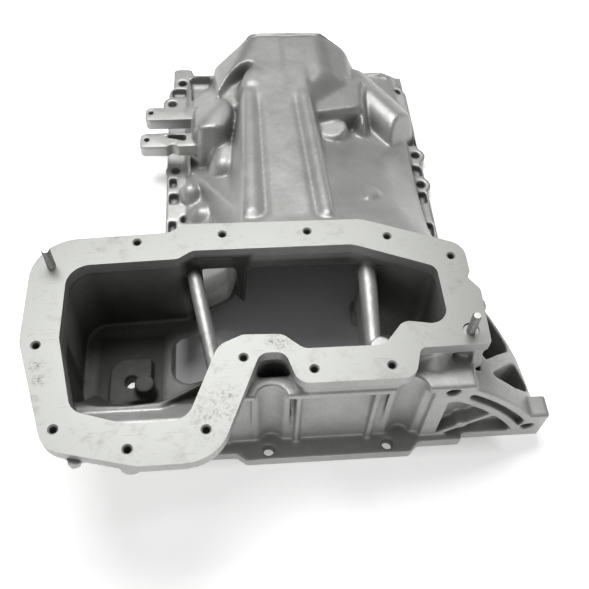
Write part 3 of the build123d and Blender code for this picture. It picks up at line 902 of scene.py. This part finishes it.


# Satin sand-cast aluminium: patchy grey, fine grain, painted shade inside the sump, in recesses where little light
# gets in, and in some given boxes
def castAluminium(s):
    # 1 inside a box, fading to nothing round it, times a further factor
    def inBox(low, high, fade, most):
        near = spread(nodes, links, boxDistance(nodes, links, coords, low, high), 0.0, fade, 1.0, 0.0)
        return combine(nodes, links, "MULTIPLY", near, most)

    material, nodes, links, shader = newMaterial("castAluminium")
    coords = addNode(nodes, "TexCoord").outputs["Object"]
    patches = spread(nodes, links, noise(nodes, links, coords, *s["patches"]), *s["patchRange"])
    speckle = spread(nodes, links, noise(nodes, links, coords, *s["speckle"]), *s["speckleRange"])
    colour = mixColour(nodes, links, patches, s["colour"], s["dull"])
    tone = addNode(nodes, "CombineColor")
    for k in range(3):
        links.new(speckle, tone.inputs[k])
    colour = mixColour(nodes, links, 1.0, colour, tone.outputs[0], "MULTIPLY")
    # Painted shade: darker grey in the given boxes where the cover lies in shade
    for area in s["paintedShadeBoxes"]:
        colour = mixColour(nodes, links, inBox(*area), colour, s["paintedShadeGrey"])
    recess = addNode(nodes, "AmbientOcclusion", samples=8, only_local=True)
    recess.inputs["Distance"].default_value = s["recess"]
    cavity = addNode(nodes, "AmbientOcclusion", samples=8, only_local=True)
    cavity.inputs["Distance"].default_value = s["cavity"]
    facing = addNode(nodes, "SeparateXYZ")
    links.new(addNode(nodes, "NewGeometry").outputs["Normal"], facing.inputs[0])
    notUnder = spread(nodes, links, facing.outputs["Z"], *s["undersides"])
    # Painted shade inside the sump: darker in the given boxes where little is open round a surface, not on
    # undersides
    insideShade = None
    for low, high, openness, fade in s["insideShadeRooms"]:
        roomShade = combine(nodes, links, "MULTIPLY", inBox(low, high, fade, notUnder),
                      spread(nodes, links, cavity.outputs["AO"], *openness, s["insideShadeMost"], 0.0))
        insideShade = roomShade if insideShade is None else combine(nodes, links, "MAXIMUM", insideShade, roomShade)
    # Painted shade: darker where a surface is closed in, joined with the painted shade inside the sump
    paintedShade = combine(nodes, links, "MAXIMUM", insideShade, spread(nodes, links, recess.outputs["AO"], *s["recessRange"]))
    colour = mixColour(nodes, links, paintedShade, colour, s["paintedShadeColour"])
    links.new(colour, shader.inputs["Base Color"])
    shader.inputs["Metallic"].default_value = s["metallic"]
    rough = spread(nodes, links, noise(nodes, links, coords, *s["sheen"]), 0.3, 0.7, *s["roughness"])
    rough = combine(nodes, links, "ADD", rough, combine(nodes, links, "MULTIPLY", paintedShade, s["paintedShadeRoughness"]))
    links.new(rough, shader.inputs["Roughness"])
    swell = addBump(nodes, links, noise(nodes, links, coords, *s["swell"]), *s["swellBump"])
    grain = addBump(nodes, links, noise(nodes, links, coords, *s["grain"]), *s["grainBump"], swell)
    links.new(grain, shader.inputs["Normal"])
    return material


machinedSettings = {
    "colour": (0.315, 0.32, 0.303, 1),
    "stain": (0.13, 0.122, 0.105, 1),
    "stainSpots": [               # place on the face, reach in m, strength
        ((-0.0868, -0.0146, 0.12), 0.03, 0.5),
        ((-0.0376, 0.0389, 0.12), 0.01, 1.0),
        ((-0.0449, 0.0393, 0.12), 0.007, 1.0),
        ((-0.2116, 0.0287, 0.12), 0.007, 1.0),
        ((-0.2075, 0.0166, 0.12), 0.007, 1.0),
        ((-0.1597, 0.1448, 0.12), 0.01, 0.8),
        ((-0.0777, -0.0023, 0.12), 0.01, 0.7),
        ((0.0007, -0.0612, 0.12), 0.03, 0.4),
    ],
    "stains": (14, 8, 0.75),      # noises: width of a feature in mm, detail, roughness
    "pits": (2.2, 4, 0.7),
    "scratches": (1.1, 2, 0.5, (0.05, 1, 1)),      # and its stretch on each axis
    "grain": (0.9, 3, 0.6),
    "stainRange": (0.54, 0.74, 0.0, 0.5),
    "pitRange": (0.5, 0.6),
    "scratchRange": (0.66, 0.72),
    "stainMost": 0.8,
    "scratchMost": 0.3,
    "metallic": 0.4,
    "roughness": (0.42, 0.52),
    "cutterCentre": (0.11, 0.12, 0),               # of the arcs
    "cutterScale": 260.0,
    "cutterWander": 0.6,
    "cutterBump": (0.012, 0.3),   # depth in mm and strength
    "grainBump": (0.05, 0.25),
}


# Machined flange face: fine arcs from the milling cutter, faint stains, spots of small pits, and scratches
def machinedAluminium(s):
    material, nodes, links, shader = newMaterial("machinedAluminium")
    coords = addNode(nodes, "TexCoord").outputs["Object"]
    stains = spread(nodes, links, noise(nodes, links, coords, *s["stains"]), *s["stainRange"])
    pitting = spread(nodes, links, noise(nodes, links, coords, *s["pits"]), *s["pitRange"])
    for place, reach, strength in s["stainSpots"]:
        off = addNode(nodes, "VectorMath", operation="DISTANCE")
        links.new(coords, off.inputs[0])
        off.inputs[1].default_value = place
        near = spread(nodes, links, off.outputs["Value"], 0.2 * reach, reach, strength, 0.0)
        stains = combine(nodes, links, "MAXIMUM", stains, combine(nodes, links, "MULTIPLY", near, pitting))
    stained = combine(nodes, links, "MULTIPLY", stains, s["stainMost"])
    colour = mixColour(nodes, links, stained, s["colour"], s["stain"])
    scratches = spread(nodes, links, noise(nodes, links, coords, *s["scratches"]), *s["scratchRange"])
    scratched = combine(nodes, links, "MULTIPLY", scratches, s["scratchMost"])
    colour = mixColour(nodes, links, scratched, colour, s["stain"])
    links.new(colour, shader.inputs["Base Color"])
    shader.inputs["Metallic"].default_value = s["metallic"]
    links.new(spread(nodes, links, stains, 0, 1, *s["roughness"]), shader.inputs["Roughness"])
    marks = addNode(nodes, "TexWave", wave_type="RINGS", rings_direction="Z")
    marks.inputs["Scale"].default_value = s["cutterScale"]
    marks.inputs["Distortion"].default_value = s["cutterWander"]
    centre = addNode(nodes, "Mapping")
    centre.inputs["Location"].default_value = s["cutterCentre"]
    links.new(coords, centre.inputs["Vector"])
    links.new(centre.outputs["Vector"], marks.inputs["Vector"])
    milled = addBump(nodes, links, marks.outputs["Fac"], *s["cutterBump"])
    grained = addBump(nodes, links, noise(nodes, links, coords, *s["grain"]), *s["grainBump"], milled)
    links.new(grained, shader.inputs["Normal"])
    return material


steelSettings = {
    "colour": (0.62, 0.62, 0.60, 1),
    "dull": (0.40, 0.395, 0.38, 1),
    "roughness": (0.28, 0.45),
    "patches": (2.5, 4, 0.6),     # noises: width of a feature in mm, detail, roughness
    "patchRange": (0.35, 0.65),
    "grain": (0.5, 2, 0.5),
    "grainBump": (0.03, 0.4),     # depth in mm and strength
}


# Zinc-plated steel with dull patches, smoother than the casting
def studSteel(s):
    material, nodes, links, shader = newMaterial("studSteel")
    coords = addNode(nodes, "TexCoord").outputs["Object"]
    fac = spread(nodes, links, noise(nodes, links, coords, *s["patches"]), *s["patchRange"])
    links.new(mixColour(nodes, links, fac, s["colour"], s["dull"]), shader.inputs["Base Color"])
    shader.inputs["Metallic"].default_value = 1.0
    links.new(spread(nodes, links, fac, 0, 1, *s["roughness"]), shader.inputs["Roughness"])
    grain = addBump(nodes, links, noise(nodes, links, coords, *s["grain"]), *s["grainBump"])
    links.new(grain, shader.inputs["Normal"])
    return material


cast = castAluminium(castSettings)
machined = machinedAluminium(machinedSettings)
steel = studSteel(steelSettings)


def setMaterials(obj, *materials):
    obj.data.materials.clear()
    for material in materials:
        obj.data.materials.append(material)


# Faces that look up at the given height get the second material
def markMachined(mesh, height):
    centre = np.empty(len(mesh.polygons) * 3, np.float32)
    normal = np.empty_like(centre)
    mesh.polygons.foreach_get("center", centre)
    mesh.polygons.foreach_get("normal", normal)
    top = (normal[2::3] > 0.98) & (centre[2::3] > (height - 0.02) * mm)
    mesh.polygons.foreach_set("material_index", top.astype(np.int32))
    mesh.update()


setMaterials(body, cast)
setMaterials(flange, cast, machined)
markMachined(flange.data, bodySettings["sumpFace"])
for obj in studs.values():
    setMaterials(obj, steel)
print("materials made")

for piece in (body, flange):
    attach(piece, "root")
    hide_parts("oil_pan_casting")
for node, piece in studs.items():
    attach(piece, "root")
    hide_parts(node)

stageSettings = {
    "floorSize": 4.0,
    "floorDrop": 0.0002,          # below the rail's face
    "floor": (0.86, 0.86, 0.855, 1),
    "paintedFloorShade": (0.76, 0.76, 0.77, 1), # painted shade: darker floor under the casting
    "paintedFloorLight": 0.55,                 # painted light: emission round the casting's footprint that fills its cast shadow on the floor and also lights the casting
    "footprint": ((-0.125, 0.02), (0.12, 0.44)),
    "world": (0.22, 0.22, 0.22, 1),
    "lamps": [                    # name, place, aim, size, watts
        ("skyBox", (-0.16, 0.74, 1.40), (0.0, 0.15, 0.0), (1.2, 0.72), 22.5),
        ("lowBox", (-0.25, -1.5, 0.2), (0.0, 0.1, 0.05), (1.6, 0.3), 4.0),
    ],
}


# Floor that glows round the casting's footprint as painted light and is painted darker under it as shade, even
# world light, and two box lamps
def addStage(s):
    half, drop = s["floorSize"] / 2, s["floorDrop"]
    corners = np.array([(-half, -half, -drop), (half, -half, -drop), (half, half, -drop), (-half, half, -drop)])
    floor = meshFromArrays("floor", corners, np.array([(0, 1, 2, 3)]))
    material, nodes, links, shader = newMaterial("paleFloor")
    shader.inputs["Roughness"].default_value = 0.8
    shader.inputs["Emission Color"].default_value = (1, 1, 1, 1)
    outside = boxDistance(nodes, links, addNode(nodes, "TexCoord").outputs["Object"], *s["footprint"])
    # Painted light round the footprint, painted shade on the floor under the casting
    links.new(spread(nodes, links, outside, -0.01, 0.03, 0.0, s["paintedFloorLight"]), shader.inputs["Emission Strength"])
    onFloor = spread(nodes, links, outside, -0.01, 0.02)
    links.new(mixColour(nodes, links, onFloor, s["paintedFloorShade"], s["floor"]), shader.inputs["Base Color"])
    setMaterials(floor, material)
    world = bpy.data.worlds.new("studio")
    world.use_nodes = True
    world.node_tree.nodes["Background"].inputs["Color"].default_value = s["world"]
    scene.world = world
    for name, place, aim, size, watts in s["lamps"]:
        light = bpy.data.lights.new(name, "AREA")
        light.shape, light.size, light.size_y, light.energy = "RECTANGLE", size[0], size[1], watts
        lamp = bpy.data.objects.new(name, light)
        turn = (Vector(aim) - Vector(place)).to_track_quat("-Z", "Y").to_matrix().to_4x4()
        lamp.matrix_world = Matrix.Translation(place) @ turn
        scene.collection.objects.link(lamp)


addStage(stageSettings)
scene.view_settings.view_transform = "Standard"
print("stage set")
